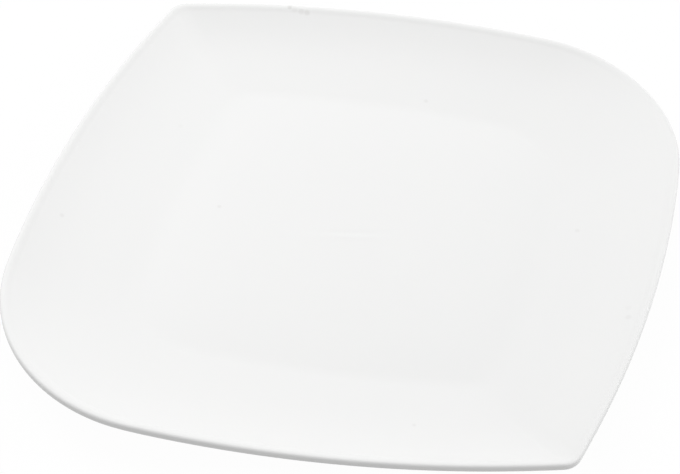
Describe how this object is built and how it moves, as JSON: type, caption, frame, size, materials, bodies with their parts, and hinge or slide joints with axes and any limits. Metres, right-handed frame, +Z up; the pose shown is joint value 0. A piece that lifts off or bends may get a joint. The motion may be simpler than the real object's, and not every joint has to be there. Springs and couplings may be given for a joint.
{
  "type": "square dinner plate",
  "caption": "Square porcelain dinner plate with pointed and rounded corners, a shallow well, a gently rising rim and a foot ring, for serving a main course.",
  "frame": {"origin": "middle of the foot ring's bearing face, which is the bottom centre of the plate's box", "axes": "+Z up, out of the well; +X and +Y square to the sides; the pointed corners lie towards +X +Y and towards -X -Y"},
  "size_m": [0.265, 0.265, 0.0202],
  "materials": {
    "bare_porcelain": "fired, unglazed and ground smooth, matte",
    "clear_glaze": "clear gloss glaze over white porcelain"
  },
  "bodies": {
    "root": {"porcelain_body": "bare_porcelain", "face_glaze": "clear_glaze", "base_glaze": "clear_glaze"}
  },
  "joints": []
}
